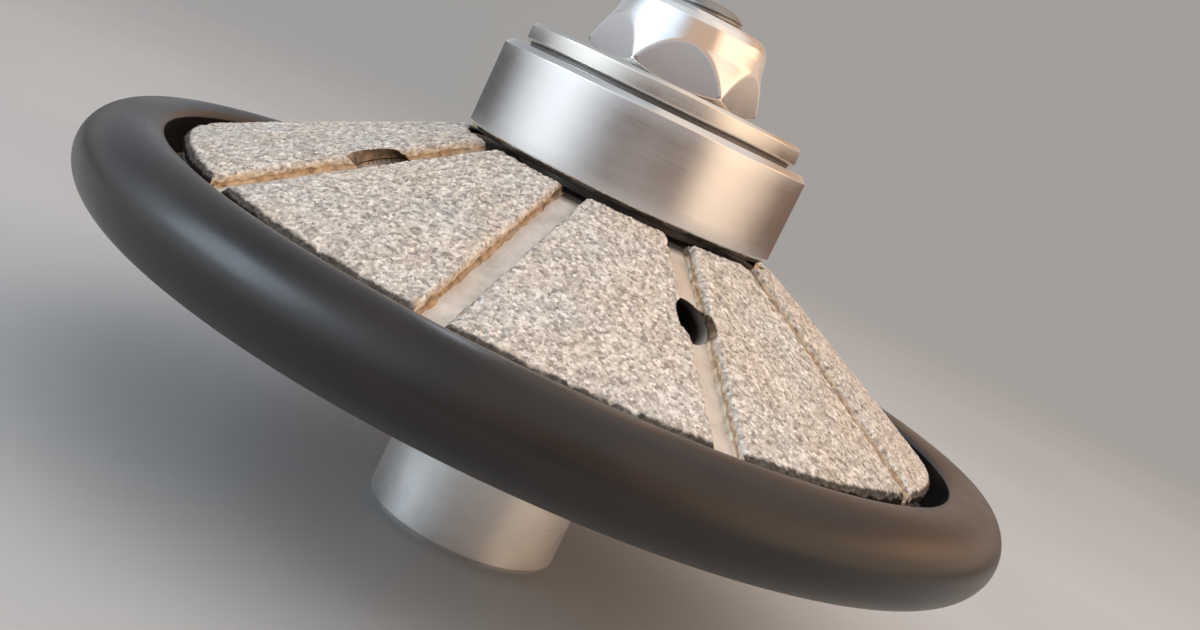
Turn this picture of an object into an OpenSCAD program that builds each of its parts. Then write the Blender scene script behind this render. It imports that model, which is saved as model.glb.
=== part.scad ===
// Segmented diamond profile wheel with a ball-bearing guide.
//
// A conical steel core carries ten sintered diamond segments brazed on with
// radial slots between them. A black guide disc with a rounded bead stands
// behind the segments. The steel hub below has a blind spindle thread, and
// its spigot passes up through the disc and the core to carry the guide
// bearing, which a washer and a hexagon nut clamp on a stud.
//
// The origin is the centre of the hub's end face, at the mouth of the spindle
// thread. +Z runs along the spindle axis towards the nut. All sizes in mm.

/* [Hub] */
// Radius of the hub's round shank
hub_r = 11; // [10.2:0.1:13]
// Radius of the spindle thread's crests (M14 x 2, minor radius)
thread_r = 5.95; // [5.4:0.05:6.6]
// Depth of the blind spindle thread
thread_depth = 18; // [12:1:18]
// Radius of the hub's clamping flange
flange_r = 19; // [18:0.5:20]

/* [Guide disc] */
// Height of the middle of the bead above the hub's end face
bead_z = 24.9; // [24.6:0.1:25.4]
// Radius to the middle of the bead
bead_r = 47.2; // [47:0.1:54]
// Half the bead's width, measured radially
bead_half_w = 4.8; // [4:0.1:5.5]
// Half the bead's height
bead_half_h = 4.5; // [4.2:0.1:5]

/* [Segments] */
// Number of segments, and of slots between them
segment_count = 10; // [10]
// Width of the slots between segments
slot_w = 2.8; // [1.6:0.1:3.4]
// Outer radius of the segments at their lower edge
segment_r = 42.9; // [41:0.1:43.4]
// Height of the segments' lower edge
segment_z = 28.8; // [28.4:0.1:29.2]
// Slope of the abrasive cone, from the wheel's plane
cone_angle = 25.7; // [25:0.1:26.2]
// Thickness of a segment, measured vertically
segment_t = 1.15; // [0.9:0.05:1.4]
// Thickness of the braze under a segment
braze_t = 0.18; // [0.12:0.02:0.3]
// Diameter of the coolant holes in every second slot
coolant_d = 4.4; // [3, 3.5, 3.9, 4.2, 4.4]

/* [Guide bearing] */
// Outside diameter of the bearing
bearing_od = 35; // [34:0.5:36]
// Bore of the bearing
bearing_id = 17; // [17]
// Width of the bearing
bearing_w = 10; // [10]
// Number of balls
ball_count = 10; // [8:1:10]
// Diameter of a ball
ball_d = 4.76; // [4.5:0.02:4.8]

/* [Fastening] */
// Width across the nut's flats
nut_af = 17; // [16:0.5:17]
// Height of the nut
nut_h = 8; // [7:0.5:8]
// Turn of the nut on its stud, in degrees
nut_turn = -3; // [-30:1:30]
// Diameter of the cap washer
washer_d = 31.2; // [28:0.2:32]
// Thickness of the cap washer
washer_t = 2.1; // [1.6:0.1:2.4]

/* [Hidden] */
// turn of the coolant holes against their slots, in degrees; some other values stall the rebuild
coolant_turn = -0.8;
$fn = 96;
eps = 0.01;

// heights of the stack
flange_z0 = 17.5;               // lower face of the hub's flange
flange_z1 = 20.5;               // flange meets the guide disc here
disc_z1 = 24.0;                 // guide disc meets the core here
core_top = 39.9;                // core's flat top meets the lower spacer
brg_z0 = 41.0;                  // lower face of the bearing
brg_z1 = brg_z0 + bearing_w;    // upper face of the bearing
shim_z1 = brg_z1 + 0.4;
washer_z1 = shim_z1 + washer_t;
nut_z1 = washer_z1 + nut_h;
stud_z0 = 36.2;
stud_z1 = nut_z1 + 1.6;

spigot_r = 10;                  // hub's spigot through disc and core
seat_r = bearing_id / 2;        // bearing seat on the hub
stud_r = 5;                     // M10
pitch_r = 13;                   // circle through the balls' centres
race_r = ball_d / 2 + 0.07;     // radius of both ball grooves
seg_step = 360 / segment_count;
tan_c = tan(cone_angle);
seg_top = 40.3;                 // flat land at the segments' inner end
seg_inner = 17.2;               // inner end of the segments

// coolant passages: they start at the abrasive face and drop to the axis
cool_r = 28.8;                  // where the passage's axis crosses the abrasive cone
cool_drop = 20;                 // slope of the passage, degrees
cool_count = segment_count / 2;
channel_r = 2.5;                // axial channel above the spindle thread

// height of the abrasive cone at radius r
function cone_z(r) = segment_z + (segment_r - r) * tan_c;
// height of the slots' floor at radius r
function floor_z(r) = cone_z(r) - segment_t - braze_t;
// points on an arc, from angle a0 to a1
function arc(c, r, a0, a1, n) =
    [for (i = [0:n]) let (a = a0 + (a1 - a0) * i / n) [c[0] + r * cos(a), c[1] + r * sin(a)]];
// points on an ellipse
function oval(c, rx, ry, a0, a1, n) =
    [for (i = [0:n]) let (a = a0 + (a1 - a0) * i / n) [c[0] + rx * cos(a), c[1] + ry * sin(a)]];

// a plain ring with chamfered outer edges
module ring(r0, r1, z0, z1, ch = 0) {
    rotate_extrude()
        polygon([[r0, z0], [r1 - ch, z0], [r1, z0 + ch], [r1, z1 - ch], [r1 - ch, z1], [r0, z1]]);
}

// the coolant passages, as solids to cut away
module coolant(d) {
    for (k = [0:cool_count - 1])
        rotate([0, 0, k * 2 * seg_step + coolant_turn])
            translate([cool_r, 0, cone_z(cool_r)])
                rotate([0, -90 - cool_drop, 0])
                    translate([0, 0, -9]) cylinder(r = d / 2, h = 39);
}

// the space between two slots: slot edges stay parallel to their radius
module sector(k, half_slot) {
    a = seg_step / 2;
    apex = half_slot / sin(a);
    reach = 60;
    rotate([0, 0, (k + 0.5) * seg_step])
        translate([0, 0, 15])
            linear_extrude(height = 40)
                polygon([[apex, 0],
                         [apex + reach * cos(a), -reach * sin(a)],
                         [apex + reach * cos(a), reach * sin(a)]]);
}

module spindle_hub() {
    color([0.74, 0.74, 0.75])
    difference() {
        rotate_extrude()
            polygon([[0, 0], [hub_r - 0.8, 0], [hub_r, 0.8], [hub_r, flange_z0 - 1],
                     [hub_r + 1, flange_z0], [flange_r - 0.6, flange_z0], [flange_r, flange_z0 + 0.6],
                     [flange_r, flange_z1], [spigot_r, flange_z1], [spigot_r, core_top],
                     [seat_r, core_top], [seat_r, brg_z1 - 0.8], [seat_r - 0.5, brg_z1 - 0.3],
                     [0, brg_z1 - 0.3]]);
        // spindle thread, with a countersunk mouth
        translate([0, 0, -eps]) cylinder(r = thread_r, h = thread_depth + eps);
        translate([0, 0, -eps]) cylinder(r1 = 7.3, r2 = thread_r, h = 1.36);
        // axial channel that feeds the coolant passages
        translate([0, 0, thread_depth - 1]) cylinder(r = channel_r, h = 12);
        coolant_cross();
        // tapped hole for the stud
        translate([0, 0, stud_z0]) cylinder(r = stud_r + 0.02, h = 30);
        // countersinks for the flange screws
        for (k = [0:cool_count - 1])
            rotate([0, 0, (2 * k + 1) * seg_step]) translate([14.9, 0, 0]) {
                translate([0, 0, flange_z0 - eps]) cylinder(r1 = 3.75 + eps, r2 = 2.05, h = 1.7 + eps);
                translate([0, 0, flange_z0]) cylinder(r = 2.05, h = 6);
            }
    }
}

// the passages where they cross the hub's spigot
module coolant_cross() {
    for (k = [0:cool_count - 1])
        rotate([0, 0, k * 2 * seg_step + coolant_turn])
            translate([cool_r, 0, cone_z(cool_r)])
                rotate([0, -90 - cool_drop, 0])
                    translate([0, 0, 17]) cylinder(r = coolant_d / 2, h = 13.5);
}

module guide_disc() {
    color([0.10, 0.10, 0.11])
    difference() {
        rotate_extrude()
            polygon(concat(
                [[spigot_r + 0.05, flange_z1], [21, flange_z1], [22, 21.5], [40.5, 21.5]],
                oval([bead_r, bead_z], bead_half_w, bead_half_h, -138, 112, 44),
                arc([bead_r - bead_half_w * 0.3746 - 0.20, bead_z + bead_half_h * 0.80], 0.35, 130, 180, 4),
                [[bead_r - 2.35, disc_z1 + 0.5], [bead_r - 2.85, disc_z1], [spigot_r + 0.05, disc_z1]]));
        for (k = [0:cool_count - 1])
            rotate([0, 0, (2 * k + 1) * seg_step]) translate([14.9, 0, flange_z1 - 1])
                cylinder(r = 2.1, h = 6);
    }
}

module core() {
    color([0.62, 0.63, 0.65])
    difference() {
        rotate_extrude()
            polygon([[spigot_r + 0.02, disc_z1], [42.4, disc_z1],
                     [42.4, floor_z(42.4)],
                     [segment_r - (core_top - floor_z(segment_r)) / tan_c, core_top],
                     [spigot_r + 0.02, core_top]]);
        coolant(coolant_d);
        for (k = [0:cool_count - 1])
            rotate([0, 0, (2 * k + 1) * seg_step]) translate([14.9, 0, disc_z1 - 1])
                cylinder(r = 2.02, h = 9);
    }
}

module flange_screws() {
    color([0.20, 0.20, 0.21])
    for (k = [0:cool_count - 1])
        rotate([0, 0, (2 * k + 1) * seg_step]) translate([14.9, 0, flange_z0])
            difference() {
                union() {
                    translate([0, 0, 0.05]) cylinder(r1 = 3.65, r2 = 2, h = 1.65);
                    translate([0, 0, 0.1]) cylinder(r = 2, h = 13.2);
                }
                translate([0, 0, -1]) cylinder(d = 2.5 / cos(30), h = 2.6, $fn = 6);
            }
}

module braze_joints() {
    color([0.72, 0.55, 0.30])
    for (k = [0:segment_count - 1])
        difference() {
            intersection() {
                rotate_extrude()
                    polygon([[seg_inner, floor_z(seg_inner)],
                             [42.4, floor_z(42.4)],
                             [42.4, floor_z(42.4) + braze_t],
                             [seg_inner, floor_z(seg_inner) + braze_t]]);
                sector(k, slot_w / 2 - 0.15);
            }
            coolant(coolant_d);
        }
}

module segment(k) {
    color([0.76, 0.71, 0.65])
    difference() {
        intersection() {
            rotate_extrude()
                polygon([[seg_inner, cone_z(seg_inner) - segment_t],
                         [segment_r - 0.4, cone_z(segment_r - 0.4) - segment_t],
                         [segment_r, segment_z - 0.9],
                         [segment_r, segment_z - 0.45],
                         [segment_r - 0.12, segment_z - 0.1],
                         [segment_r - 0.45, cone_z(segment_r - 0.45)],
                         [segment_r + (segment_z - seg_top) / tan_c + 0.3, seg_top - 0.14],
                         [segment_r + (segment_z - seg_top) / tan_c - 0.3, seg_top],
                         [seg_inner, seg_top]]);
            sector(k, slot_w / 2);
        }
        coolant(coolant_d);
    }
}

module lower_spacer() {
    color([0.70, 0.70, 0.72]) ring(seat_r + 0.03, 11.1, core_top, brg_z0);
}

module bearing_inner_ring() {
    color([0.78, 0.78, 0.80])
    difference() {
        rotate_extrude()
            polygon([[seat_r, brg_z0 + 0.5], [seat_r + 0.5, brg_z0], [11.1, brg_z0], [11.35, brg_z0 + 0.3],
                     [11.35, brg_z1 - 0.3], [11.1, brg_z1], [seat_r + 0.5, brg_z1], [seat_r, brg_z1 - 0.5]]);
        translate([0, 0, brg_z0 + bearing_w / 2])
            rotate_extrude() translate([pitch_r, 0]) circle(r = race_r);
    }
}

module bearing_outer_ring() {
    ro = bearing_od / 2;
    color([0.80, 0.80, 0.82])
    difference() {
        rotate_extrude()
            polygon([[15.5, brg_z0], [ro - 0.6, brg_z0], [ro, brg_z0 + 0.6], [ro, brg_z1 - 0.6], [ro - 0.6, brg_z1],
                     [15.5, brg_z1], [15.5, brg_z1 - 0.9], [14.8, brg_z1 - 0.9],
                     [14.8, brg_z0 + 0.9], [15.5, brg_z0 + 0.9]]);
        translate([0, 0, brg_z0 + bearing_w / 2])
            rotate_extrude() translate([pitch_r, 0]) circle(r = race_r);
    }
}

module bearing_balls() {
    color([0.85, 0.85, 0.87])
    for (k = [0:ball_count - 1])
        rotate([0, 0, (k + 0.5) * 360 / ball_count])
            translate([pitch_r, 0, brg_z0 + bearing_w / 2]) sphere(d = ball_d);
}

module bearing_cage() {
    color([0.55, 0.42, 0.22])
    difference() {
        ring(12.3, 13.8, brg_z0 + 2.2, brg_z1 - 2.2);
        for (k = [0:ball_count - 1])
            rotate([0, 0, (k + 0.5) * 360 / ball_count])
                translate([pitch_r, 0, brg_z0 + bearing_w / 2]) sphere(r = ball_d / 2 + 0.08);
    }
}

// pressed shield: a flat ring with a short turned-in lip at its bore
module shield() {
    rotate_extrude()
        polygon([[11.6, 0], [15.5, 0], [15.5, 0.35], [11.95, 0.35], [11.95, 1.0], [11.6, 1.0]]);
}

module bearing_shield_upper() {
    color([0.66, 0.67, 0.69])
    translate([0, 0, brg_z1 - 0.45]) mirror([0, 0, 1]) shield();
}

module bearing_shield_lower() {
    color([0.66, 0.67, 0.69])
    translate([0, 0, brg_z0 + 0.45]) shield();
}

module shim_ring() {
    color([0.70, 0.70, 0.72]) ring(stud_r + 0.2, 15, brg_z1, shim_z1);
}

module cap_washer() {
    color([0.76, 0.74, 0.70]) ring(stud_r + 0.2, washer_d / 2, shim_z1, washer_z1, 0.3);
}

module nut() {
    r = nut_af / 2;
    color([0.82, 0.82, 0.84])
    rotate([0, 0, nut_turn])
    difference() {
        intersection() {
            translate([0, 0, washer_z1]) cylinder(r = r / cos(30), h = nut_h, $fn = 6);
            // turned outline: undercut foot, tapered corners, domed top
            rotate_extrude()
                polygon([[0, washer_z1], [r - 0.1, washer_z1], [r + 1.25, washer_z1 + 0.75],
                         [r + 1.3, washer_z1 + 1.0], [r + 0.9, washer_z1 + 2.4],
                         [r + 0.45, washer_z1 + 3.6], [r, washer_z1 + 4.7], [r - 0.25, washer_z1 + 6.0],
                         [r - 0.5, washer_z1 + 7.0], [r - 0.9, washer_z1 + 7.6], [r - 1.5, washer_z1 + nut_h],
                         [0, washer_z1 + nut_h]]);
        }
        translate([0, 0, washer_z1 - 1]) cylinder(r = stud_r + 0.05, h = nut_h + 2);
        translate([0, 0, nut_z1 - 0.5]) cylinder(r1 = stud_r + 0.05, r2 = stud_r + 0.65, h = 0.6);
    }
}

module stud() {
    color([0.60, 0.60, 0.62])
    rotate_extrude()
        polygon([[0, stud_z0 + 0.2], [stud_r - 0.8, stud_z0 + 0.2], [stud_r, stud_z0 + 1],
                 [stud_r, nut_z1 - 0.4], [4.3, stud_z1 - 0.9], [3.7, stud_z1 - 0.35], [3.1, stud_z1 - 0.08],
                 [2.6, stud_z1], [0, stud_z1]]);
}

spindle_hub();
guide_disc();
core();
flange_screws();
braze_joints();
segment(0);  // segment_01
segment(1);  // segment_02
segment(2);  // segment_03
segment(3);  // segment_04
segment(4);  // segment_05
segment(5);  // segment_06
segment(6);  // segment_07
segment(7);  // segment_08
segment(8);  // segment_09
segment(9);  // segment_10
lower_spacer();
bearing_inner_ring();
bearing_outer_ring();
bearing_balls();
bearing_cage();
bearing_shield_upper();
bearing_shield_lower();
shim_ring();
cap_washer();
nut();
stud();
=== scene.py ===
import math

import bmesh
import bpy
import numpy as np
from mathutils import Matrix, Vector


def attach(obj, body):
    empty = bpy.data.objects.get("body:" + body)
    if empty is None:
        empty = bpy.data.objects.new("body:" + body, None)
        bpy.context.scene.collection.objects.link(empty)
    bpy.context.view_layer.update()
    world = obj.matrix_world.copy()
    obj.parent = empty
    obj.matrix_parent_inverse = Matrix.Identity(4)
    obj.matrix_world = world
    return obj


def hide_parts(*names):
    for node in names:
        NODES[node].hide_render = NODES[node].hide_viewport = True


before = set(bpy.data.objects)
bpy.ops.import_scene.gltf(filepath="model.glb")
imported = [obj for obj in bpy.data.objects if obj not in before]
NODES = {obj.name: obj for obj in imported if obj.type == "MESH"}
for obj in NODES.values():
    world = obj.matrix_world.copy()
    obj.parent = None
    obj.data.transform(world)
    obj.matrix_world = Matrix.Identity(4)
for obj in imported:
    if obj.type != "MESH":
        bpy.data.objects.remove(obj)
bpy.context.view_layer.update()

MM = 0.001

# ---------------------------------------------------------------- dimensions, mm
HUB_R, FLANGE_R, SPIGOT_R, SEAT_R = 11.0, 19.0, 10.0, 8.5
FLANGE_Z0, FLANGE_Z1, DISC_Z1, CORE_TOP = 17.5, 20.5, 24.0, 39.9
BRG_Z0, BRG_Z1 = 41.0, 51.0
SHIM_Z1, WASHER_Z1, NUT_Z1, STUD_Z1 = 51.4, 53.5, 61.5, 63.1
BEAD_R, BEAD_Z, BEAD_W, BEAD_H = 47.2, 24.9, 4.8, 4.5
SLOT_W, SEG_R, SEG_Z, SEG_T, BRAZE_T = 2.8, 42.9, 28.8, 1.15, 0.18
TAN_C = math.tan(math.radians(25.7))
SEG_TOP, SEG_IN = 40.65, 17.2
COOL_R, COOL_DROP, COOL_D, COOL_TURN = 28.8, 20.0, 4.4, -0.8
STEP = math.radians(36)


def cone_z(r):
    return SEG_Z + (SEG_R - r) * TAN_C


def floor_z(r):
    return cone_z(r) - SEG_T - BRAZE_T


# ---------------------------------------------------------------- mesh helpers
def make(name, verts, faces, body, mats, node=None, sharp=32, attrs=None, face_mats=None):
    """A mesh object from points in mm, riding on a CAD body."""
    me = bpy.data.meshes.new(name)
    me.from_pydata((np.asarray(verts, float) * MM).tolist(), [], [list(map(int, f)) for f in faces])
    me.update()
    if attrs:
        for key, data in attrs.items():
            a = me.attributes.new(key, "FLOAT", "POINT")
            a.data.foreach_set("value", np.asarray(data, np.float32))
    for m in mats:
        me.materials.append(m)
    if face_mats is not None:
        me.polygons.foreach_set("material_index", np.asarray(face_mats, np.int32))
    ob = bpy.data.objects.new(name, me)
    bpy.context.scene.collection.objects.link(ob)
    tidy(ob, sharp)
    if node:
        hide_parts(*(node if isinstance(node, (list, tuple)) else [node]))
    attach(ob, body)
    return ob


def tidy(ob, sharp=32, merge=1e-7):
    me = ob.data
    bm = bmesh.new()
    bm.from_mesh(me)
    bmesh.ops.remove_doubles(bm, verts=bm.verts, dist=merge)
    bmesh.ops.dissolve_degenerate(bm, edges=bm.edges, dist=merge)
    bmesh.ops.recalc_face_normals(bm, faces=bm.faces)
    bm.to_mesh(me)
    bm.free()
    me.polygons.foreach_set("use_smooth", [True] * len(me.polygons))
    me.set_sharp_from_angle(angle=math.radians(sharp))
    me.update()


def fillet(pts, steps=5):
    """Rounds the corners of a closed outline. A point is (r, z) or (r, z, radius)."""
    out, n = [], len(pts)
    for i, p in enumerate(pts):
        rad = p[2] if len(p) > 2 else 0
        c = np.array(p[:2], float)
        if rad <= 0:
            out.append(tuple(c))
            continue
        a, b = np.array(pts[i - 1][:2], float) - c, np.array(pts[(i + 1) % n][:2], float) - c
        la, lb = np.linalg.norm(a), np.linalg.norm(b)
        u, v = a / la, b / lb
        half = math.acos(max(-1, min(1, float(u @ v)))) / 2
        t = min(rad / math.tan(half), 0.49 * la, 0.49 * lb)
        rr = t * math.tan(half)
        mid = c + (u + v) / np.linalg.norm(u + v) * rr / math.sin(half)
        s, e = c + u * t - mid, c + v * t - mid
        a0, a1 = math.atan2(s[1], s[0]), math.atan2(e[1], e[0])
        d = (a1 - a0 + math.pi) % (2 * math.pi) - math.pi
        for k in range(steps + 1):
            ang = a0 + d * k / steps
            out.append((mid[0] + rr * math.cos(ang), mid[1] + rr * math.sin(ang)))
    return out


def resample(pts, gap, closed=True):
    """Adds points so that no step along the outline is longer than gap."""
    out = []
    n = len(pts)
    for i in range(n if closed else n - 1):
        a, b = np.array(pts[i], float), np.array(pts[(i + 1) % n], float)
        k = max(1, int(math.ceil(np.linalg.norm(b - a) / gap)))
        for j in range(k):
            out.append(tuple(a + (b - a) * j / k))
    if not closed:
        out.append(tuple(pts[-1]))
    return out


def lathe_mesh(prof, segs=256, warp=None):
    """A closed outline turned about the axis, as (verts, faces)."""
    p = np.array(prof, float)
    th = np.arange(segs) * 2 * math.pi / segs
    R = np.repeat(p[:, 0][None, :], segs, 0)
    Z = np.repeat(p[:, 1][None, :], segs, 0)
    T = np.repeat(th[:, None], len(p), 1)
    if warp:
        R, Z = warp(R, Z, T)
    v = np.stack([R * np.cos(T), R * np.sin(T), Z], -1).reshape(-1, 3)
    n = len(p)
    i, j = np.meshgrid(np.arange(segs), np.arange(n), indexing="ij")
    i2, j2 = (i + 1) % segs, (j + 1) % n
    f = np.stack([i * n + j, i2 * n + j, i2 * n + j2, i * n + j2], -1).reshape(-1, 4)
    return v, f


def lathe(name, prof, body, mat, node=None, segs=256, warp=None, sharp=32):
    v, f = lathe_mesh(prof, segs, warp)
    return make(name, v, f, body, [mat], node, sharp)


def box_surface(na, nb, nc, func):
    """The skin of a block of na x nb x nc cells; func gives each point's place and marks."""
    index, coords = {}, []

    def vid(i, j, k):
        key = (i, j, k)
        if key not in index:
            index[key] = len(coords)
            coords.append(key)
        return index[key]

    faces, side = [], []
    for i in range(na):
        for j in range(nb):
            faces.append([vid(i, j, 0), vid(i + 1, j, 0), vid(i + 1, j + 1, 0), vid(i, j + 1, 0)]); side.append(0)
            faces.append([vid(i, j, nc), vid(i, j + 1, nc), vid(i + 1, j + 1, nc), vid(i + 1, j, nc)]); side.append(2)
    for i in range(na):
        for k in range(nc):
            for j in (0, nb):
                q = [vid(i, j, k), vid(i, j, k + 1), vid(i + 1, j, k + 1), vid(i + 1, j, k)]
                faces.append(q if j == 0 else q[::-1]); side.append(1)
    for j in range(nb):
        for k in range(nc):
            for i in (0, na):
                q = [vid(i, j, k), vid(i, j + 1, k), vid(i, j + 1, k + 1), vid(i, j, k + 1)]
                faces.append(q if i == 0 else q[::-1]); side.append(3)
    c = np.array(coords, float) / np.array([na, nb, nc], float)
    return func(c[:, 0], c[:, 1], c[:, 2]), faces, np.array(side)


def cylinder_cutter(name, p, d, r, segs=48):
    """A temporary rod through the points p, used to cut holes."""
    v, f = [], []
    a, b = np.array(p, float), np.array(d, float)
    ax = (b - a) / np.linalg.norm(b - a)
    u = np.cross(ax, [0.3, 0.4, 0.86]); u /= np.linalg.norm(u)
    w = np.cross(ax, u)
    rs = r if isinstance(r, (tuple, list)) else (r, r)
    for e, rad in ((a, rs[0]), (b, rs[1])):
        for k in range(segs):
            t = 2 * math.pi * k / segs
            v.append(e + (u * math.cos(t) + w * math.sin(t)) * rad)
    for k in range(segs):
        f.append([k, (k + 1) % segs, segs + (k + 1) % segs, segs + k])
    f.append(list(range(segs))[::-1])
    f.append(list(range(segs, 2 * segs)))
    return np.array(v), f


def cut(ob, cutters, sharp=32, index=0):
    """Takes closed (verts, faces) shapes out of ob; the new faces get the material of that index."""
    for n, (v, f) in enumerate(cutters):
        me = bpy.data.meshes.new("cutter")
        me.from_pydata((np.asarray(v) * MM).tolist(), [], [list(map(int, q)) for q in f])
        bm = bmesh.new(); bm.from_mesh(me); bmesh.ops.recalc_face_normals(bm, faces=bm.faces); bm.to_mesh(me); bm.free()
        for m in ob.data.materials:
            me.materials.append(m)
        me.polygons.foreach_set("material_index", [index] * len(me.polygons))
        c = bpy.data.objects.new("cutter", me)
        bpy.context.scene.collection.objects.link(c)
        mod = ob.modifiers.new("cut", "BOOLEAN")
        mod.operation, mod.object = "DIFFERENCE", c
        try:
            mod.solver = "MANIFOLD"
        except TypeError:
            mod.solver = "EXACT"
        before = len(ob.data.polygons)
        deps = bpy.context.evaluated_depsgraph_get()
        made = bpy.data.meshes.new_from_object(ob.evaluated_get(deps), depsgraph=deps)
        ob.modifiers.remove(mod)
        if len(made.polygons) > before * 0.5:
            old = ob.data
            ob.data = made
            bpy.data.meshes.remove(old)
        bpy.data.objects.remove(c)
        bpy.data.meshes.remove(me)
    ob.data.polygons.foreach_set("use_smooth", [True] * len(ob.data.polygons))
    ob.data.set_sharp_from_angle(angle=math.radians(sharp))
    ob.data.update()


# ---------------------------------------------------------------- seeded noise
def hash2(ix, iy, seed):
    h = (ix.astype(np.int64) * 374761393 + iy.astype(np.int64) * 668265263 + seed * 974634777) & 0xFFFFFFFF
    h = ((h ^ (h >> 13)) * 1274126177) & 0xFFFFFFFF
    h = (h ^ (h >> 16)) & 0xFFFFFFFF
    return h / 4294967295.0


def value_noise(x, y, seed=0):
    ix, iy = np.floor(x), np.floor(y)
    fx, fy = x - ix, y - iy
    fx, fy = fx * fx * (3 - 2 * fx), fy * fy * (3 - 2 * fy)
    a, b = hash2(ix, iy, seed), hash2(ix + 1, iy, seed)
    c, d = hash2(ix, iy + 1, seed), hash2(ix + 1, iy + 1, seed)
    return (a + (b - a) * fx) * (1 - fy) + (c + (d - c) * fx) * fy


def cells(x, y, seed=0):
    """Distances to the nearest and second grain, and the nearest grain's own number."""
    ix, iy = np.floor(x), np.floor(y)
    f1 = np.full(x.shape, 9.0); f2 = np.full(x.shape, 9.0); own = np.zeros(x.shape)
    for dx in (-1, 0, 1):
        for dy in (-1, 0, 1):
            cx, cy = ix + dx, iy + dy
            px = cx + 0.1 + 0.8 * hash2(cx, cy, seed + 1)
            py = cy + 0.1 + 0.8 * hash2(cx, cy, seed + 2)
            d = np.hypot(x - px, y - py)
            closer = d < f1
            f2 = np.where(closer, f1, np.minimum(f2, d))
            own = np.where(closer, hash2(cx, cy, seed + 3), own)
            f1 = np.where(closer, d, f1)
    return f1, f2, own


def smooth(a, b, x):
    t = np.clip((x - a) / (b - a), 0, 1)
    return t * t * (3 - 2 * t)


# ---------------------------------------------------------------- materials
class Mat:
    def __init__(self, name, base=(0.5, 0.5, 0.5), metal=0.0, rough=0.5, **sockets):
        self.m = bpy.data.materials.new(name)
        self.m.use_nodes = True
        self.n, self.l = self.m.node_tree.nodes, self.m.node_tree.links
        self.b = self.n["Principled BSDF"]
        self.b.inputs["Base Color"].default_value = (*base, 1)
        self.b.inputs["Metallic"].default_value = metal
        self.b.inputs["Roughness"].default_value = rough
        for k, v in sockets.items():
            self.b.inputs[k.replace("_", " ")].default_value = v
        self.tc = self.n.new("ShaderNodeTexCoord").outputs["Object"]

    def put(self, socket, value):
        if hasattr(value, "is_output"):
            self.l.new(value, socket)
        else:
            socket.default_value = value

    def mapping(self, scale=(1, 1, 1), loc=(0, 0, 0)):
        n = self.n.new("ShaderNodeMapping")
        n.inputs["Scale"].default_value = scale
        n.inputs["Location"].default_value = loc
        self.l.new(self.tc, n.inputs["Vector"])
        return n.outputs["Vector"]

    def polar(self, along=1.0, round_=1.0, up=1.0):
        """Coordinates (radius, angle, height) for marks that run round the axis, in mm."""
        sep = self.n.new("ShaderNodeSeparateXYZ")
        self.l.new(self.tc, sep.inputs[0])
        x, y, z = sep.outputs
        r = self.math("SQRT", self.math("ADD", self.math("MULTIPLY", x, x), self.math("MULTIPLY", y, y)))
        a = self.math("ARCTAN2", y, x)
        c = self.n.new("ShaderNodeCombineXYZ")
        self.put(c.inputs[0], self.math("MULTIPLY", r, 1000.0 * along))
        self.put(c.inputs[1], self.math("MULTIPLY", a, round_))
        self.put(c.inputs[2], self.math("MULTIPLY", z, 1000.0 * up))
        return c.outputs[0]

    def noise(self, scale, detail=3.0, rough=0.55, vec=None, out="Fac"):
        n = self.n.new("ShaderNodeTexNoise")
        n.inputs["Scale"].default_value = scale
        n.inputs["Detail"].default_value = detail
        n.inputs["Roughness"].default_value = rough
        self.l.new(vec if vec is not None else self.tc, n.inputs["Vector"])
        return n.outputs[out]

    def voronoi(self, scale, feature="F1", out="Distance", rand=1.0, vec=None):
        n = self.n.new("ShaderNodeTexVoronoi")
        n.feature = feature
        n.inputs["Scale"].default_value = scale
        n.inputs["Randomness"].default_value = rand
        self.l.new(vec if vec is not None else self.tc, n.inputs["Vector"])
        return n.outputs[out]

    def attr(self, name, out="Fac"):
        n = self.n.new("ShaderNodeAttribute")
        n.attribute_name = name
        return n.outputs[out]

    def math(self, op, a, b=None, clamp=False):
        n = self.n.new("ShaderNodeMath")
        n.operation = op
        n.use_clamp = clamp
        self.put(n.inputs[0], a)
        if b is not None:
            self.put(n.inputs[1], b)
        return n.outputs[0]

    def ramp(self, fac, stops, interp="LINEAR"):
        n = self.n.new("ShaderNodeValToRGB")
        n.color_ramp.interpolation = interp
        e = n.color_ramp.elements
        while len(e) < len(stops):
            e.new(0.5)
        for el, (pos, col) in zip(e, stops):
            el.position = pos
            el.color = (*col, 1) if len(col) == 3 else col
        self.l.new(fac, n.inputs["Fac"])
        return n.outputs["Color"]

    def grey(self, fac, lo, hi, a=0.0, b=1.0):
        n = self.n.new("ShaderNodeMapRange")
        n.inputs["From Min"].default_value = a
        n.inputs["From Max"].default_value = b
        n.inputs["To Min"].default_value = lo
        n.inputs["To Max"].default_value = hi
        self.l.new(fac, n.inputs["Value"])
        return n.outputs["Result"]

    def mix(self, fac, a, b, blend="MIX"):
        n = self.n.new("ShaderNodeMix")
        n.data_type = "RGBA"
        n.blend_type = blend
        self.put(n.inputs["Factor"], fac)
        self.put(n.inputs["A"] if False else n.inputs[6], a if hasattr(a, "is_output") else (*a, 1))
        self.put(n.inputs[7], b if hasattr(b, "is_output") else (*b, 1))
        return n.outputs[2]

    def bump(self, height, strength, dist_mm, normal=None):
        n = self.n.new("ShaderNodeBump")
        n.inputs["Strength"].default_value = strength
        n.inputs["Distance"].default_value = dist_mm * MM
        self.l.new(height, n.inputs["Height"])
        if normal is not None:
            self.l.new(normal, n.inputs["Normal"])
        self.l.new(n.outputs["Normal"], self.b.inputs["Normal"])
        return n.outputs["Normal"]

    def color(self, v):
        self.l.new(v, self.b.inputs["Base Color"])

    def rough(self, v):
        self.l.new(v, self.b.inputs["Roughness"])

    def metal(self, v):
        self.l.new(v, self.b.inputs["Metallic"])


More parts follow.
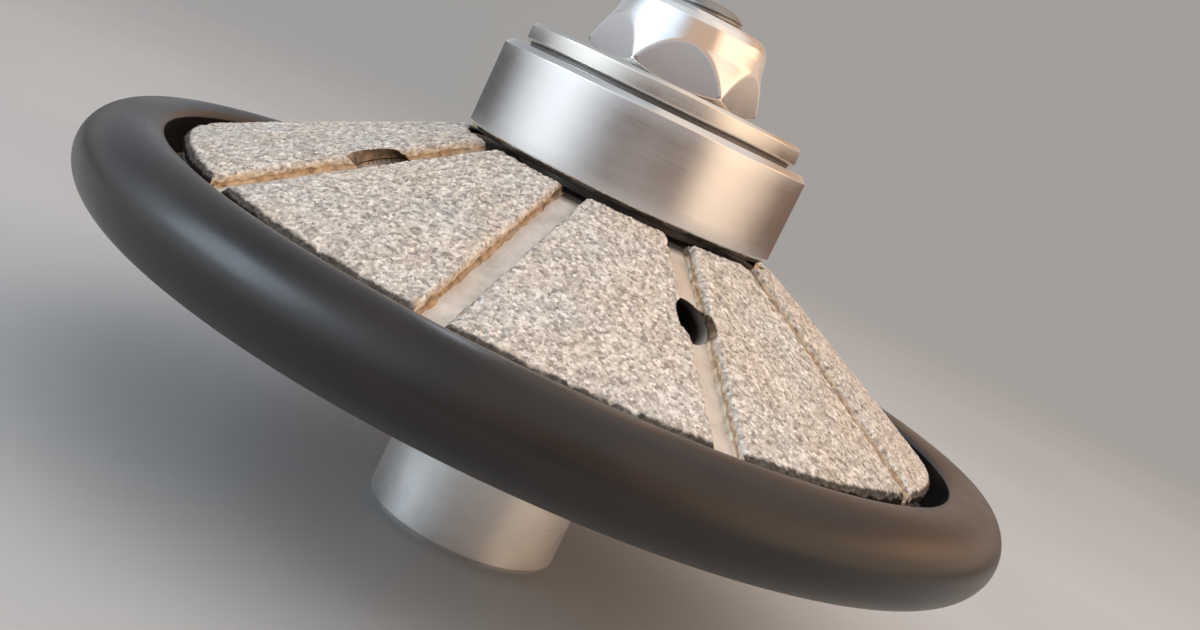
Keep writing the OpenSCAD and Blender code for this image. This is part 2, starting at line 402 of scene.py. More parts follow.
def steel(name, base, rough, spread=0.06, tint=0.06, marks=0.5, mark_mm=0.004, along=1.0, up=1.0, smudge=0.05, brushed=0.0):
    """Turned or ground steel: fine marks round the axis, smudges, and small scratches."""
    m = Mat(name, base, 1.0, rough)
    if brushed:
        tan = m.n.new("ShaderNodeTangent")
        tan.direction_type, tan.axis = "RADIAL", "Z"
        m.l.new(tan.outputs[0], m.b.inputs["Tangent"])
        m.b.inputs["Anisotropic"].default_value = brushed
        m.b.inputs["Anisotropic Rotation"].default_value = 0.25
    rings = m.noise(9.0, 4.0, 0.7, m.polar(along, 0.25, up))
    cloud = m.noise(260.0, 4.0, 0.6)
    fine = m.noise(2600.0, 2.0, 0.5)
    dark = tuple(c * (1 - 2.2 * tint) for c in base)
    light = tuple(min(1, c * (1 + tint)) for c in base)
    m.color(m.ramp(m.math("ADD", m.math("MULTIPLY", rings, 0.5), m.math("MULTIPLY", cloud, 0.5)), [(0.34, dark), (0.62, light)]))
    r = m.math("ADD", m.grey(rings, rough - spread, rough + spread, 0.3, 0.7), m.grey(cloud, -smudge, smudge, 0.35, 0.65))
    m.rough(m.math("MAXIMUM", r, 0.04))
    n = m.bump(rings, marks, mark_mm)
    m.bump(fine, 0.25, 0.003, n)
    return m.m


def make_grit():
    """Crushed diamond in a metal bond: light grains, stains, painted shade in the crevices and pits between the grains,
    and painted shade along the outer edge and the ends, partly real staining.
    """
    m = Mat("diamond_grit", (0.6, 0.55, 0.48), 0.0, 0.5)
    own, gap, dirt = m.attr("grain"), m.attr("gap"), m.attr("dirt")
    one = m.n.new("ShaderNodeSeparateColor")
    m.l.new(m.voronoi(2450.0, out="Color"), one.inputs[0])
    two = m.n.new("ShaderNodeSeparateColor")
    m.l.new(m.voronoi(4300.0, out="Color"), two.inputs[0])
    patch = m.noise(120.0, 3.0, 0.5)
    tone = m.math("ADD", m.math("ADD", m.math("MULTIPLY", own, 0.26), m.math("MULTIPLY", one.outputs[0], 0.46)), m.math("MULTIPLY", two.outputs[0], 0.28))
    warm = m.ramp(tone, [(0.20, (0.190, 0.158, 0.132)), (0.34, (0.292, 0.246, 0.206)), (0.48, (0.385, 0.328, 0.276)), (0.62, (0.462, 0.400, 0.340)), (0.80, (0.600, 0.535, 0.465))])
    cool = m.ramp(tone, [(0.20, (0.180, 0.172, 0.166)), (0.34, (0.275, 0.262, 0.250)), (0.48, (0.365, 0.349, 0.333)), (0.62, (0.448, 0.433, 0.413)), (0.80, (0.590, 0.578, 0.560))])
    body = m.mix(m.grey(patch, 0.05, 0.60, 0.35, 0.65), warm, cool)
    stain = m.grey(m.noise(95.0, 4.0, 0.65, m.mapping(loc=(0.013, 0.007, 0.021))), 0.0, 0.45, 0.62, 0.78)
    body = m.mix(stain, body, (0.40, 0.28, 0.16))
    # Painted shade: the crevices and pits between the grains are darkened.
    crevice_shade = m.grey(gap, 1.0, 0.0, 0.00, 0.20)
    body = m.mix(m.math("MULTIPLY", crevice_shade, 0.35), body, (0.15, 0.12, 0.095))
    # Painted shade, partly real staining: where the mask is high the bond turns near-black, rough, dull and
    # non-metallic. This stands in for the shadow in the gap along the bead and on the shaded ends.
    m.color(m.mix(dirt, body, (0.014, 0.011, 0.009)))
    m.rough(m.math("MAXIMUM", m.grey(one.outputs[1], 0.36, 0.78, 0.1, 0.9), dirt))
    m.metal(m.math("MULTIPLY", m.grey(two.outputs[1], 0.0, 0.45, 0.55, 0.9), m.grey(dirt, 1.0, 0.0, 0.0, 0.5)))
    m.l.new(m.grey(dirt, 0.5, 0.05, 0.0, 0.6), m.b.inputs["Specular IOR Level"])
    n = m.bump(m.voronoi(2450.0), 0.5, 0.07)
    n = m.bump(m.voronoi(4300.0), 0.45, 0.035, n)
    m.bump(m.noise(7000.0, 2.0, 0.6), 0.35, 0.02, n)
    return m.m


def make_bronze():
    m = Mat("braze_bronze", (0.55, 0.38, 0.22), 0.9, 0.42)
    a, b = m.noise(900.0, 4.0, 0.65), m.noise(220.0, 3.0, 0.5)
    c = m.ramp(a, [(0.30, (0.15, 0.095, 0.058)), (0.46, (0.42, 0.285, 0.175)), (0.60, (0.62, 0.465, 0.315)), (0.75, (0.76, 0.65, 0.53))])
    m.color(m.mix(m.grey(b, 0.0, 0.6, 0.45, 0.65), c, (0.50, 0.44, 0.37)))
    m.rough(m.grey(a, 0.30, 0.60, 0.3, 0.7))
    n = m.bump(a, 0.6, 0.05)
    m.bump(m.noise(3500.0, 2.0), 0.4, 0.02, n)
    return m.m


def make_side():
    """The segments' slot walls: bond and grit, smeared with braze near the foot."""
    m = Mat("segment_side", (0.50, 0.42, 0.33), 0.25, 0.5)
    h = m.attr("depth")
    a = m.noise(1700.0, 3.0, 0.6)
    bond = m.ramp(a, [(0.30, (0.28, 0.220, 0.165)), (0.46, (0.50, 0.410, 0.320)), (0.60, (0.64, 0.550, 0.450)), (0.75, (0.80, 0.72, 0.62))])
    br = m.ramp(a, [(0.30, (0.22, 0.135, 0.080)), (0.52, (0.52, 0.370, 0.235)), (0.72, (0.74, 0.590, 0.430))])
    m.color(m.mix(m.grey(m.math("ADD", h, m.grey(m.noise(260.0, 3.0, 0.6), -0.55, 0.55, 0.3, 0.7)), 0.0, 0.95, 0.15, 0.75), bond, br))
    m.rough(m.grey(a, 0.38, 0.65, 0.3, 0.7))
    m.bump(a, 0.8, 0.06)
    return m.m


def make_black():
    """Black oxide under oil: nearly black, softly glossy, with handling marks and dust."""
    m = Mat("disc_black", (0.016, 0.015, 0.016), 0.0, 0.38)
    m.b.inputs["IOR"].default_value = 1.50
    cloud = m.noise(60.0, 4.0, 0.55)
    fine = m.noise(900.0, 4.0, 0.6)
    dust = m.noise(2300.0, 2.0, 0.5)
    scr = m.noise(7.0, 5.0, 0.75, m.polar(2.4, 1.6, 2.4))
    base = m.ramp(cloud, [(0.35, (0.0035, 0.0030, 0.0032)), (0.65, (0.010, 0.0065, 0.0050))])
    speck = m.grey(dust, 0.0, 0.35, 0.72, 0.82)
    m.color(m.mix(speck, base, (0.055, 0.048, 0.042)))
    m.rough(m.math("ADD", m.grey(cloud, 0.28, 0.38, 0.35, 0.65), m.grey(scr, -0.02, 0.05, 0.45, 0.7)))
    n = m.bump(fine, 0.15, 0.015)
    n = m.bump(m.noise(330.0, 2.0, 0.5), 0.2, 0.02, n)
    m.bump(scr, 0.12, 0.008, n)
    return m.m


def make_core():
    """Turned steel with a warm, dull film. It is darkened where the bearing shades it and deep inside the coolant
    passages: painted shade.
    """
    m = Mat("core_steel", (0.66, 0.61, 0.56), 0.75, 0.48)
    streak = m.noise(12.0, 4.0, 0.7, m.polar(0.35, 26.0, 0.35))
    cloud = m.noise(330.0, 4.0, 0.6)
    c = m.ramp(m.math("ADD", m.math("MULTIPLY", streak, 0.4), m.math("MULTIPLY", cloud, 0.6)),
               [(0.34, (0.50, 0.430, 0.370)), (0.50, (0.66, 0.585, 0.520)), (0.66, (0.78, 0.710, 0.650))])
    heat = m.grey(m.noise(150.0, 3.0, 0.6, m.mapping(loc=(0.004, 0.03, 0.01))), 0.0, 0.5, 0.52, 0.72)
    c = m.mix(heat, c, (0.62, 0.49, 0.36))
    sep = m.n.new("ShaderNodeSeparateXYZ")
    m.l.new(m.polar(), sep.inputs[0])
    # Painted shade: the core goes near-black under the bearing, inside a radius of about 18 mm.
    under_bearing_shade = m.grey(sep.outputs[0], 0.94, 0.0, 17.6, 18.6)
    # Painted shade: the core goes near-black where it lies more than 0.15 mm below the segments' floor cone, inside the
    # coolant passages.
    deep = m.math("ADD", sep.outputs[2], m.math("MULTIPLY", sep.outputs[0], TAN_C))
    top = SEG_Z + SEG_R * TAN_C - SEG_T - BRAZE_T
    hole = m.grey(deep, 0.95, 0.0, top - 1.6, top - 0.15)
    m.color(m.mix(m.math("MAXIMUM", under_bearing_shade, hole), c, (0.035, 0.026, 0.020)))
    m.rough(m.grey(cloud, 0.40, 0.60, 0.35, 0.65))
    m.bump(streak, 0.3, 0.015)
    return m.m


M_GRIT, M_SIDE, M_BRONZE, M_BLACK, M_CORE = make_grit(), make_side(), make_bronze(), make_black(), make_core()
M_SCOOP = Mat("passage_wall", (0.10, 0.065, 0.040), 0.2, 0.6)
M_SCOOP.color(M_SCOOP.ramp(M_SCOOP.noise(1300.0, 3.0, 0.6), [(0.35, (0.070, 0.045, 0.028)), (0.65, (0.26, 0.175, 0.110))]))
M_HUB = steel("hub_steel", (0.86, 0.85, 0.83), 0.38, 0.05, 0.05, 0.5, 0.006, smudge=0.04, brushed=0.8)
M_RING = steel("bearing_steel", (0.74, 0.73, 0.72), 0.19, 0.02, 0.015, 0.35, 0.003, smudge=0.015, brushed=0.4)
M_NUT = steel("nut_chrome", (0.84, 0.835, 0.83), 0.15, 0.02, 0.015, 0.12, 0.003, smudge=0.02)
M_WASHER = steel("washer_steel", (0.76, 0.735, 0.69), 0.24, 0.03, 0.03, 0.3, 0.003, smudge=0.03)
M_STUD = steel("stud_steel", (0.34, 0.335, 0.33), 0.34, 0.05, 0.06, 0.4, 0.006)
# The spacer steel has a dark base: painted shade in the narrow gaps under and over the bearing, where the lower spacer
# and the shim ring sit.
M_SPACER = steel("spacer_steel", (0.20, 0.19, 0.18), 0.45, 0.06, 0.05, 0.5, 0.005)
M_SHIELD = steel("shield_steel", (0.34, 0.34, 0.35), 0.34, 0.05, 0.05, 0.4, 0.004)
M_CAGE = steel("cage_brass", (0.60, 0.46, 0.24), 0.30, 0.05, 0.05, 0.4, 0.004)
M_SCREW = steel("screw_black", (0.10, 0.10, 0.105), 0.36, 0.05, 0.08, 0.4, 0.005)

# ---------------------------------------------------------------- camera
FOCAL, ROLL, ELEV, CX, CY, DIST, SPIN = 1357.05, 25.72, 8.76, 554.1, 326.25, 147.92, 7.3
cr, sr = math.cos(math.radians(ROLL)), math.sin(math.radians(ROLL))
ce, se = math.cos(math.radians(ELEV)), math.sin(math.radians(ELEV))
Rv = Matrix(((cr, se * sr, ce * sr), (-sr, se * cr, ce * cr), (0, -ce, se)))
t = Vector(((CX - 600) / FOCAL * DIST, -(CY - 315) / FOCAL * DIST, -DIST))
spin = Matrix.Rotation(math.radians(-SPIN), 3, "Z")
rot = spin @ Rv.transposed()
eye = spin @ (Rv.transposed() @ (-t)) + Vector((0, 0, BEAD_Z))
cam = bpy.data.objects.new("camera", bpy.data.cameras.new("camera"))
bpy.context.scene.collection.objects.link(cam)
cam.matrix_world = Matrix.Translation(eye * MM) @ rot.to_4x4()
cam.data.sensor_fit = "HORIZONTAL"
cam.data.sensor_width = 36
cam.data.lens = FOCAL / 1200 * 36
cam.data.clip_start, cam.data.clip_end = 0.005, 50
cam.data.dof.use_dof = False
bpy.context.scene.camera = cam


# ---------------------------------------------------------------- light and floor
def area(name, az, el, dist, w, h, power, color):
    """A soft light. az is measured round the wheel from the camera's side, el above the horizon."""
    a, e = math.radians(az - SPIN), math.radians(el)
    d = Vector((math.sin(a) * math.cos(e), -math.cos(a) * math.cos(e), math.sin(e)))
    li = bpy.data.lights.new(name, "AREA")
    li.shape, li.size, li.size_y = "RECTANGLE", w, h
    li.energy, li.color = power, color
    ob = bpy.data.objects.new(name, li)
    bpy.context.scene.collection.objects.link(ob)
    ob.location = Vector((0, 0, 0.038)) + d * dist
    ob.rotation_mode = "QUATERNION"
    ob.rotation_quaternion = (-d).to_track_quat("-Z", "Y")
    ob.visible_camera = False
    return ob


area("soft_left", -70, 28, 0.60, 0.34, 0.30, 1.35, (0.68, 0.85, 1.0))
for args in (("soft_right", 62, 34, 0.60, 0.34, 0.34, 1.35, (1.0, 0.86, 0.72)),
             ("soft_top", 20, 64, 0.60, 0.55, 0.55, 1.45, (1.0, 0.99, 0.975)),
             ("soft_front", 14, 32, 0.60, 0.40, 0.30, 0.90, (1.0, 0.97, 0.93)),
             ("soft_back", 160, 38, 0.65, 0.50, 0.30, 0.4, (1.0, 0.97, 0.94))):
    area(*args).visible_glossy = False

bpy.context.scene.view_settings.view_transform = "Standard"


def studio():
    """A soft studio all round: a large cool panel on the left, a smaller warm one on the right."""
    w = bpy.data.worlds.new("studio")
    bpy.context.scene.world = w
    w.use_nodes = True
    n, l = w.node_tree.nodes, w.node_tree.links
    bg = n["Background"]

    def put(s, v):
        if hasattr(v, "is_output"):
            l.new(v, s)
        else:
            s.default_value = v

    def math_(op, a, b=0.0):
        q = n.new("ShaderNodeMath"); q.operation = op
        put(q.inputs[0], a); put(q.inputs[1], b)
        return q.outputs[0]

    def step(v, a, b, lo=0.0, hi=1.0):
        q = n.new("ShaderNodeMapRange"); q.interpolation_type = "SMOOTHSTEP"
        for key, val in (("From Min", a), ("From Max", b), ("To Min", lo), ("To Max", hi)):
            q.inputs[key].default_value = val
        put(q.inputs["Value"], v)
        return q.outputs["Result"]

    def mix_(f, a, b, blend="MIX"):
        q = n.new("ShaderNodeMix"); q.data_type = "RGBA"; q.blend_type = blend
        put(q.inputs["Factor"], f)
        put(q.inputs[6], a if hasattr(a, "is_output") else (*a, 1))
        put(q.inputs[7], b if hasattr(b, "is_output") else (*b, 1))
        return q.outputs[2]

    s = n.new("ShaderNodeSeparateXYZ")
    l.new(n.new("ShaderNodeTexCoord").outputs["Generated"], s.inputs[0])
    az = math_("ADD", math_("ARCTAN2", s.outputs[0], math_("MULTIPLY", s.outputs[1], -1.0)), math.radians(SPIN))
    up = s.outputs[2]

    def panel(a0, a1, b1, b0):
        """Rises from azimuth a0 to a1 and falls again from b1 to b0."""
        r = math.radians
        return math_("MULTIPLY", step(az, r(a0), r(a1)), step(az, r(b1), r(b0), 1.0, 0.0))

    tall = math_("MULTIPLY", step(up, -0.55, -0.25), step(up, 0.45, 0.95, 1.0, 0.35))
    side = step(az, math.radians(-60), math.radians(20))
    warm = step(az, math.radians(10), math.radians(70))
    room = mix_(side, (0.125, 0.125, 0.130), (0.200, 0.125, 0.092))
    room = mix_(step(up, 0.00, 0.065), room, mix_(warm, (0.54, 0.54, 0.56), (0.60, 0.49, 0.42)))
    room = mix_(step(up, 0.10, 0.30), room, mix_(side, (0.42, 0.44, 0.48), (0.66, 0.45, 0.32)))
    room = mix_(step(up, 0.55, 0.80), room, mix_(side, (0.50, 0.52, 0.55), (0.92, 0.84, 0.78)))
    left = math_("MULTIPLY", panel(-132, -62, -62, -12), tall)
    high = math_("MULTIPLY", panel(-120, -75, -45, -2), math_("MULTIPLY", step(up, 0.12, 0.30), step(up, 0.60, 0.90, 1.0, 0.0)))
    right = math_("MULTIPLY", panel(30, 62, 62, 130), math_("MULTIPLY", tall, step(up, -0.12, -0.03)))
    glow = math_("MULTIPLY", panel(50, 75, 125, 160), math_("MULTIPLY", step(up, 0.02, 0.08), step(up, 0.20, 0.35, 1.0, 0.0)))
    strip = math_("MULTIPLY", panel(32, 58, 112, 145), math_("MULTIPLY", step(up, 0.20, 0.34), step(up, 0.48, 0.60, 1.0, 0.0)))
    room = mix_(strip, room, (2.30, 1.38, 0.86))
    col = mix_(high, room, (1.00, 1.22, 1.45))
    col = mix_(left, col, (1.26, 1.34, 1.42))
    col = mix_(glow, col, (0.90, 0.68, 0.50))
    col = mix_(right, col, (1.64, 1.26, 0.94))
    seen = mix_(step(s.outputs[0], -0.45, 0.45), (0.345, 0.345, 0.345), (0.37, 0.345, 0.325))
    path = n.new("ShaderNodeLightPath")
    l.new(mix_(path.outputs["Is Camera Ray"], col, seen), bg.inputs["Color"])
    bg.inputs["Strength"].default_value = 1.0
    return w


studio()

fl = Mat("floor_pale", (0.45, 0.45, 0.45), 0.0, 0.55)
fc = fl.noise(14.0, 3.0, 0.5)
fl.color(fl.ramp(fc, [(0.3, (0.325, 0.33, 0.335)), (0.7, (0.36, 0.36, 0.36))]))
fs = fl.n.new("ShaderNodeSeparateXYZ")
fl.l.new(fl.tc, fs.inputs[0])
fr = fl.math("SQRT", fl.math("ADD", fl.math("MULTIPLY", fs.outputs[0], fs.outputs[0]), fl.math("MULTIPLY", fs.outputs[1], fs.outputs[1])))
fade = fl.grey(fr, 1.0, 0.0, 0.16, 0.75)
fade.node.interpolation_type = "SMOOTHSTEP"
fl.l.new(fade, fl.b.inputs["Alpha"])
fv = [[1000 * math.cos(2 * math.pi * k / 96), 1000 * math.sin(2 * math.pi * k / 96), 0] for k in range(96)]
fme = bpy.data.meshes.new("floor")
fme.from_pydata([[c * MM for c in p] for p in fv], [], [list(range(96))])
fme.materials.append(fl.m)
floor = bpy.data.objects.new("floor", fme)
bpy.context.scene.collection.objects.link(floor)


# ---------------------------------------------------------------- guide disc
def oval(n=90):
    out = []
    for k in range(n + 1):
        a = math.radians(-138 + 250 * k / n)
        out.append((BEAD_R + (BEAD_W - 0.005) * math.cos(a), BEAD_Z + BEAD_H * math.sin(a)))
    return out


ex, ez = BEAD_R - BEAD_W * 0.3746 - 0.2, BEAD_Z + BEAD_H * 0.8
lip = [(ex + 0.35 * math.cos(math.radians(a)), ez + 0.35 * math.sin(math.radians(a))) for a in (130, 142, 155, 167, 180)]
disc_prof = fillet([(SPIGOT_R + 0.05, FLANGE_Z1), (21, FLANGE_Z1, 0.3), (22, 21.5, 0.5), (40.5, 21.5, 2.0)]) + oval() + lip \
    + fillet([(BEAD_R - 2.35, 28.4), (BEAD_R - 2.35, DISC_Z1 + 0.4, 0.4), (BEAD_R - 2.85, DISC_Z1, 0.1), (SPIGOT_R + 0.05, DISC_Z1)])[1:]
disc = lathe("guide_disc_body", resample(disc_prof, 1.2), "wheel", M_BLACK, "guide_disc", 288)
holes = []
for k in range(5):
    a = (2 * k + 1) * STEP
    c, s = math.cos(a) * 14.9, math.sin(a) * 14.9
    holes.append(cylinder_cutter("h", (c, s, 19.5), (c, s, 25.5), 2.1))
cut(disc, holes)

# ---------------------------------------------------------------- hub with its thread
THREAD_R, MAJOR, PITCH, T_DEPTH = 5.95, 7.0, 2.0, 18.0


def thread_shape(ph, crest, root):
    """0 on the crest and 1 in the root, over one turn of phase."""
    d = np.abs(ph - np.floor(ph) - 0.5) * 2
    return 1 - smooth(root, 1 - crest, d)


hub_prof = fillet([
    (7.3, 0, 0.1), (HUB_R - 0.8, 0, 0.15), (HUB_R, 0.8, 0.25), (HUB_R, FLANGE_Z0 - 1, 0.8),
    (HUB_R + 1, FLANGE_Z0, 0.3), (FLANGE_R - 0.6, FLANGE_Z0, 0.2), (FLANGE_R, FLANGE_Z0 + 0.6, 0.2),
    (FLANGE_R, FLANGE_Z1), (SPIGOT_R, FLANGE_Z1), (SPIGOT_R, CORE_TOP), (SEAT_R, CORE_TOP), (SEAT_R, BRG_Z1 - 0.8),
    (SEAT_R - 0.5, BRG_Z1 - 0.3), (5.02, BRG_Z1 - 0.3), (5.02, 36.2), (0, 36.2), (0, 29.0), (2.5, 29.0, 0.2), (2.5, T_DEPTH, 0.2),
    (THREAD_R + 0.01, T_DEPTH)])
wall = [(THREAD_R, z) for z in np.arange(T_DEPTH - 0.1, 1.40, -0.125)]
hub_prof = resample(hub_prof, 2.0, closed=False) + wall + [(THREAD_R, 1.35), (6.4, 0.9), (6.85, 0.45)]


def hub_warp(R, Z, T):
    on = (np.abs(R - THREAD_R) < 0.005) & (Z < T_DEPTH - 0.05)
    ph = Z / PITCH - T / (2 * math.pi)
    dep = (MAJOR - THREAD_R) * thread_shape(ph, 0.25, 0.125)
    dep = dep * smooth(T_DEPTH - 0.3, T_DEPTH - 2.2, Z)
    return np.where(on, R + dep, R), Z


hub = lathe("spindle_hub_body", hub_prof, "wheel", M_HUB, "spindle_hub", 192, hub_warp, 38)
cutters = []
for k in range(5):
    a = (2 * k + 1) * STEP
    c, s = math.cos(a) * 14.9, math.sin(a) * 14.9
    cutters.append(cylinder_cutter("s", (c, s, FLANGE_Z0 - 0.3), (c, s, FLANGE_Z0 + 1.7), (3.75 + 0.3, 2.05)))
    cutters.append(cylinder_cutter("s", (c, s, FLANGE_Z0 - 0.5), (c, s, FLANGE_Z1 + 1), 2.05))
cut(hub, cutters, 38)


# ---------------------------------------------------------------- segments and braze
def edge_angle(r, half):
    return STEP / 2 - np.arcsin(half / r)


def passage(k):
    a = 2 * k * STEP + math.radians(COOL_TURN)
    z = cone_z(COOL_R)
    dr, dz = math.cos(math.radians(COOL_DROP)), math.sin(math.radians(COOL_DROP))
    p0 = (COOL_R + 9 * dr, z + 9 * dz)
    p1 = (COOL_R - 20 * dr, z - 20 * dz)
    f = lambda p: (p[0] * math.cos(a), p[0] * math.sin(a), p[1])
    return cylinder_cutter("p", f(p0), f(p1), COOL_D / 2, 40)


GRID = 0.16
GRAIN = 0.44


def segment_piece(k):
    nr, nv, nd = int(28.6 / GRID), int(18.5 / GRID), 6
    mid = (k + 0.5) * STEP

    def place(u, v, d):
        r_out = SEG_R
        r = SEG_IN + (r_out - SEG_IN) * u
        hv = v * 2 - 1
        # wavy, chipped sides and ends
        side_n = (value_noise(r * 1.3 + 50 * k, hv * 0 + 7 + np.sign(hv) * 3, 5) - 0.5) * 0.22 \
            + (value_noise(r * 3.7 + 90 * k, hv * 0 + 9 + np.sign(hv) * 3, 6) - 0.5) * 0.14
        th = hv * edge_angle(r, SLOT_W / 2 + 0.02 + np.abs(side_n) * 0.9 * (1 - 0.7 * d))
        ang = mid + th
        out_n = value_noise(ang * 42 + 11, ang * 0 + k, 8) * 0.20 + value_noise(ang * 120 + 3, ang * 0 + k, 9) * 0.14
        r = np.where(u > 0.9, r - (u - 0.9) / 0.1 * out_n, r)
        r = np.where(u < 0.04, r + (1 - u / 0.04) * value_noise(ang * 60, ang * 0 + 2 + k, 10) * 0.15, r)
        top = np.minimum(cone_z(r), SEG_TOP)
        # soft shoulder where the cone meets the flat land, and a slight crown
        q = cone_z(r) - SEG_TOP
        top = np.where(np.abs(q) < 0.35, SEG_TOP - (0.35 - q) ** 2 / 1.4, top)
        crown = 0.10 * np.sin(np.pi * np.clip((r - 19) / (SEG_R - 19), 0, 1))
        top = top + crown
        bot = floor_z(r) + BRAZE_T
        bot = np.minimum(bot, top - 0.25)
        # rounded rims
        half_w = r * edge_angle(r, SLOT_W / 2)
        ed = np.minimum((1 - np.abs(hv)) * half_w, np.minimum((1 - u) * (SEG_R - SEG_IN), u * (SEG_R - SEG_IN)))
        x, y = r * np.cos(ang), r * np.sin(ang)
        rho = 0.30 + 0.35 * value_noise(x * 1.1, y * 1.1, 12)
        e = np.clip(rho - ed, 0, rho)
        drop = rho - np.sqrt(np.maximum(rho * rho - e * e, 0))
        chip = smooth(0.72, 0.95, value_noise(x * 0.9 + 31, y * 0.9 + 17, 13)) * smooth(0.9, 0.0, ed) * 0.26
        drop = drop * 0.8 + chip
        # grains
        f1, f2, own = cells(x / GRAIN, y / GRAIN, 20)
        g1, g2, own2 = cells(x / (GRAIN * 0.55) + 7.3, y / (GRAIN * 0.55) + 2.1, 30)
        gap = f2 - f1
        lump = smooth(0.0, 0.35, gap) * (0.25 + 0.75 * own) * (1 - 0.5 * f1)
        relief = 0.135 * lump + 0.055 * smooth(0, 0.4, g2 - g1) * own2 + 0.06 * (value_noise(x * 0.6, y * 0.6, 15) - 0.5)
        pit = smooth(0.80, 0.93, value_noise(x * 1.7 + 9, y * 1.7 + 4, 16)) * 0.20
        topg = top - 0.12 + relief - pit - drop
        z = topg * (1 - d) + bot * d
        # the walls are a little rough too
        w = 0.05 * (value_noise(r * 4 + 5 * k, d * 5 + np.sign(hv) * 9, 17) - 0.5) * (np.abs(hv) > 0.999)
        ang2 = ang + np.sign(hv) * w / r
        P = np.stack([r * np.cos(ang2), r * np.sin(ang2), z], -1)
        ends = (u > 0.999) | (u < 0.001)
        # Mask for painted shade, partly real staining: the outer edge band and the end walls, in the gap along the bead
        # and under the bearing.
        edge = smooth(42.28, 42.55, r + 0.10 * (value_noise(ang * 90, ang * 0 + 4 + k, 18) - 0.5))
        dirt = np.clip(np.where(ends, 0.80 + 0.20 * smooth(0.0, 0.3, d), 0.90 * edge), 0, 1)
        return P, {"grain": 0.65 * own + 0.35 * own2, "gap": np.minimum(gap, 0.6) * 1.0 - pit, "depth": d, "dirt": dirt}

    (P, attrs), faces, side = box_surface(nr, nv, nd, place)
    ob = make(f"segment_{k + 1:02d}_abrasive", P, faces, "wheel", [M_GRIT, M_SIDE, M_SCOOP.m], f"segment_{k + 1:02d}",
              60, attrs, np.where(side == 1, 1, 0))
    if k % 2 == 0:
        near = [passage(k // 2)]
    else:
        near = [passage(((k + 1) // 2) % 5)]
    cut(ob, near, 60, 2)
    return ob


segments = [segment_piece(k) for k in range(10)]


def braze_piece():
    """A thin bronze bed under each segment, with a fillet that climbs the slot's walls."""
    V, F = [], []
    base = 0
    nr = 70
    cols = [(-0.30, -0.02), (-0.27, 0.05), (-0.15, 0.13), (-0.05, 0.30), (-0.01, 0.46), (0.06, 0.46), (0.10, 0.12), (1, 0.12)]
    for k in range(10):
        mid = (k + 0.5) * STEP
        rows = []
        for i in range(nr + 1):
            u = i / nr
            r = SEG_IN + 0.1 + (42.35 - SEG_IN - 0.1) * u
            line = []
            for s in (-1, 1):
                n1 = float(value_noise(np.array(r * 1.6 + 40 * k), np.array(3.0 + s), 41))
                n2 = float(value_noise(np.array(r * 4.1 + 40 * k), np.array(8.0 + s), 42))
                pts = []
                for off, h in cols:
                    if off == 1:
                        pts.append((0.0, floor_z(r) + 0.12))
                        continue
                    o = off * (0.45 + 1.1 * n1) if off < 0 else off
                    hh = h * (0.35 + 1.0 * n1 + 0.5 * n2) if h > 0.2 else h
                    a = STEP / 2 - math.asin((SLOT_W / 2 + o) / r)
                    pts.append((s * a, floor_z(r) + min(hh, 1.0)))
                line.append(pts)
            ring = line[0] + line[1][::-1][1:]
            ring.append((line[1][0][0], floor_z(r) - 0.06))
            ring.append((line[0][0][0], floor_z(r) - 0.06))
            rows.append([(r * math.cos(mid + a), r * math.sin(mid + a), z) for a, z in ring])
        m = len(rows[0])
        for row in rows:
            V += row
        for i in range(nr):
            for j in range(m):
                j2 = (j + 1) % m
                F.append([base + i * m + j, base + i * m + j2, base + (i + 1) * m + j2, base + (i + 1) * m + j])
        F.append([base + j for j in range(m)])
        F.append([base + nr * m + j for j in range(m)][::-1])
        base = len(V)
    ob = make("braze_fillets", V, F, "wheel", [M_BRONZE], "braze_joints", 50)
    cut(ob, [passage(k) for k in range(5)], 50)
    return ob


braze_piece()

# ---------------------------------------------------------------- bearing
c = 0.6
ring_prof = fillet([(15.5, BRG_Z0, 0.08), (17.5 - c, BRG_Z0, 0.22), (17.5, BRG_Z0 + c, 0.22), (17.5, BRG_Z1 - c, 0.22), (17.5 - c, BRG_Z1, 0.22),
                    (15.5, BRG_Z1, 0.08), (15.5, BRG_Z1 - 0.9), (14.8, BRG_Z1 - 0.9, 0.05)])
race = [(13 + 2.45 * math.cos(a), 46 + 2.45 * math.sin(a)) for a in np.linspace(math.acos(1.8 / 2.45), -math.acos(1.8 / 2.45), 19)]
ring_prof += race + fillet([(14.8, BRG_Z0 + 0.9, 0.05), (15.5, BRG_Z0 + 0.9), (15.5, BRG_Z0 + 0.5)])[:-1]
lathe("bearing_outer_ring_body", resample(ring_prof, 1.5), "guide_bearing_ring", M_RING, "bearing_outer_ring", 320)
for zz, sgn, nm in ((BRG_Z1 - 0.45, -1, "bearing_shield_upper"), (BRG_Z0 + 0.45, 1, "bearing_shield_lower")):
    sh = fillet([(11.6, zz, 0.12), (15.48, zz, 0.05), (15.48, zz + sgn * 0.35, 0.05), (11.95, zz + sgn * 0.35, 0.1), (11.95, zz + sgn * 1.0, 0.05), (11.6, zz + sgn * 1.0, 0.05)])
    lathe(nm + "_body", sh, "guide_bearing_ring", M_SHIELD, nm, 192)

# ---------------------------------------------------------------- washer, nut, stud
wash = fillet([(5.2, SHIM_Z1, 0.1), (15.6 - 0.3, SHIM_Z1, 0.15), (15.6, SHIM_Z1 + 0.3, 0.15), (15.6, WASHER_Z1 - 0.35, 0.25), (15.6 - 0.35, WASHER_Z1, 0.25), (5.2, WASHER_Z1, 0.1)])
lathe("cap_washer_body", resample(wash, 1.5), "wheel", M_WASHER, "cap_washer", 256)

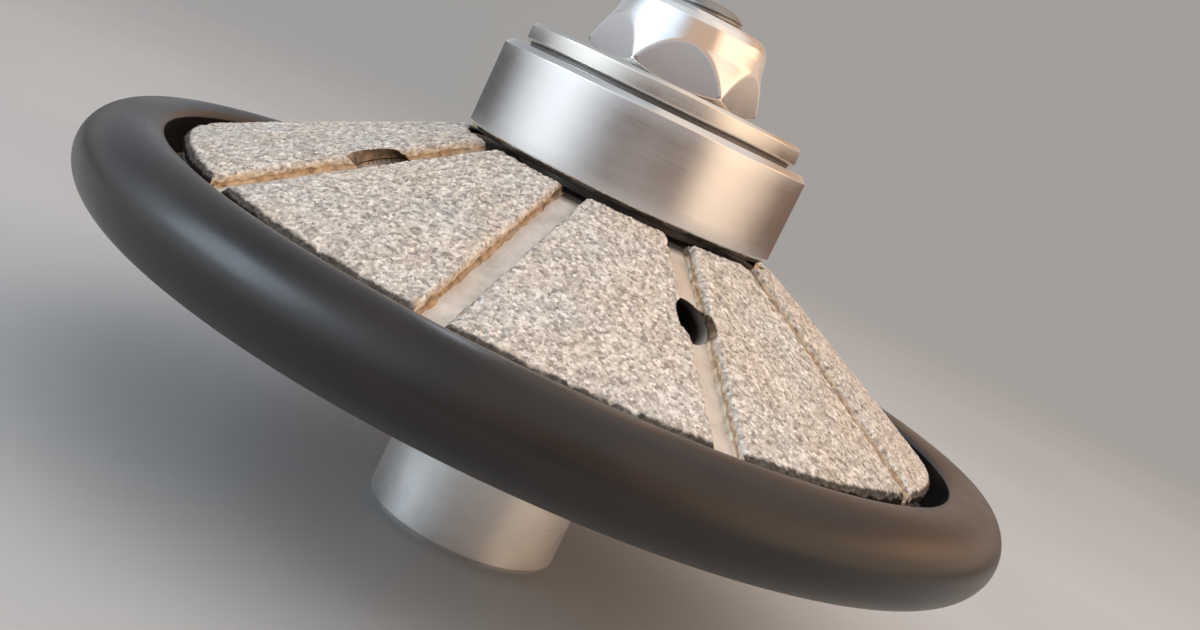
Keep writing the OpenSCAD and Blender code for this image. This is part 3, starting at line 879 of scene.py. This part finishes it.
Z0 = WASHER_Z1
nut_prof = fillet([(8.4, Z0, 0.15), (9.75, Z0 + 0.75, 0.4), (9.8, Z0 + 1.1, 0.3), (9.4, Z0 + 2.4, 1.5), (8.95, Z0 + 3.6, 2), (8.5, Z0 + 4.7, 2), (8.25, Z0 + 6.0, 2),
                   (8.0, Z0 + 7.0, 0.8), (7.6, Z0 + 7.6, 0.4), (7.0, NUT_Z1, 0.4), (5.65, NUT_Z1, 0.1), (5.05, NUT_Z1 - 0.55, 0.1), (5.05, Z0 + 0.4, 0.1), (5.5, Z0, 0.1)])


def nut_warp(R, Z, T):
    a = (T - math.radians(-3.0) + math.radians(30)) % math.radians(60) - math.radians(30)
    # corners lie at the turn angle, flats between them
    b = (T - math.radians(-3.0)) % math.radians(60) - math.radians(30)
    hexr = 8.5 / np.cos(b)
    k = 0.10
    h = np.clip(0.5 + 0.5 * (hexr - R) / k, 0, 1)
    low = hexr * (1 - h) + R * h - k * h * (1 - h)
    return np.where(R > 6.6, low, R), Z


lathe("nut_body", resample(nut_prof, 0.09), "wheel", M_NUT, "nut", 384, nut_warp, 40)


def stud_warp(R, Z, T):
    ph = Z / 1.5 - T / (2 * math.pi)
    g = 0.80 * thread_shape(ph, 0.2, 0.12)
    lim = 5.0 - g
    on = (Z > 52.5) & (Z < 62.95) & (R > 3.4)
    return np.where(on, np.minimum(R, lim), R), Z


stud_prof = fillet([(0, 36.4), (4.2, 36.4, 0.1), (5.0, 37.2, 0.2), (5.0, 61.1, 0.2), (4.4, 62.3, 0.3), (3.7, 62.85, 0.3), (3.0, STUD_Z1, 0.4), (0, STUD_Z1)])
sp = resample(stud_prof, 3.0, closed=False)
fine_z = []
for q in resample([p for p in stud_prof if True], 0.1, closed=False):
    if q[1] > 52.0:
        fine_z.append(q)
coarse = [q for q in sp if q[1] <= 52.0]
lathe("stud_body", coarse + fine_z, "wheel", M_STUD, "stud", 160, stud_warp, 40)

# ---------------------------------------------------------------- finishes on the CAD nodes that stay
for node, mat in (("core", M_CORE), ("flange_screws", M_SCREW), ("lower_spacer", M_SPACER), ("shim_ring", M_SPACER),
                  ("bearing_inner_ring", M_RING), ("bearing_balls", M_RING), ("bearing_cage", M_CAGE)):
    ob = NODES[node]
    for i in range(max(1, len(ob.material_slots))):
        if i < len(ob.material_slots):
            ob.material_slots[i].material = mat
        else:
            ob.data.materials.append(mat)
